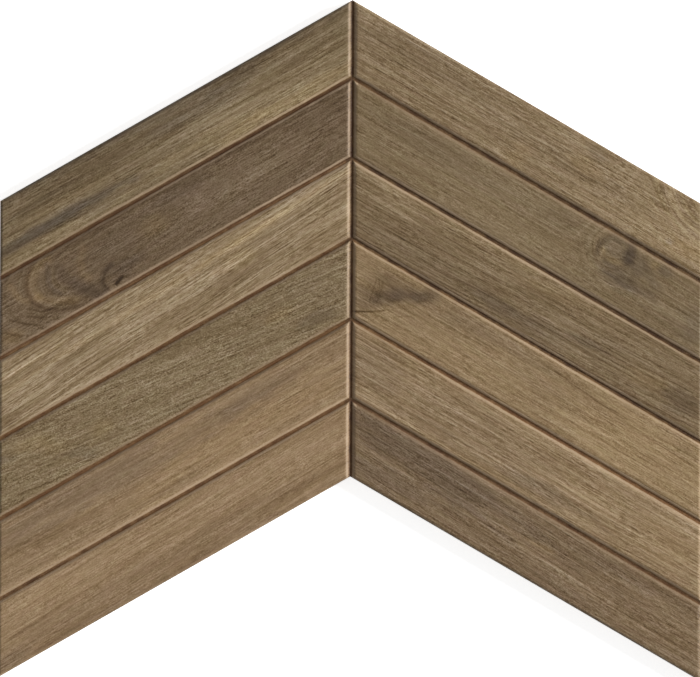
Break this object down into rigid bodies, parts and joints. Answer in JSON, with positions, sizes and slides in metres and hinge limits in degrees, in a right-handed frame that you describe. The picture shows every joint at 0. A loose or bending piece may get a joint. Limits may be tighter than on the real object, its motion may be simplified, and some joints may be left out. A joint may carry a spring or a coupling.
{
  "type": "chevron wall tile",
  "caption": "Chevron-shaped glazed ceramic wall tile: two mirrored arms of wood-look planks in relief, divided by pressed joints, with a keyed back.",
  "frame": {"origin": "middle of the bounding box in plan, at the back of the tile", "axes": "+Z out of the glazed face; +Y the way the chevron points, along its centre joint; +X across the tile, to the right as it hangs on a wall point up"},
  "size_m": [0.3, 0.29, 0.009],
  "materials": {
    "wood_look_glaze": "matte printed wood-look glaze"
  },
  "bodies": {
    "root": {"chevron_tile": "wood_look_glaze"}
  },
  "joints": []
}
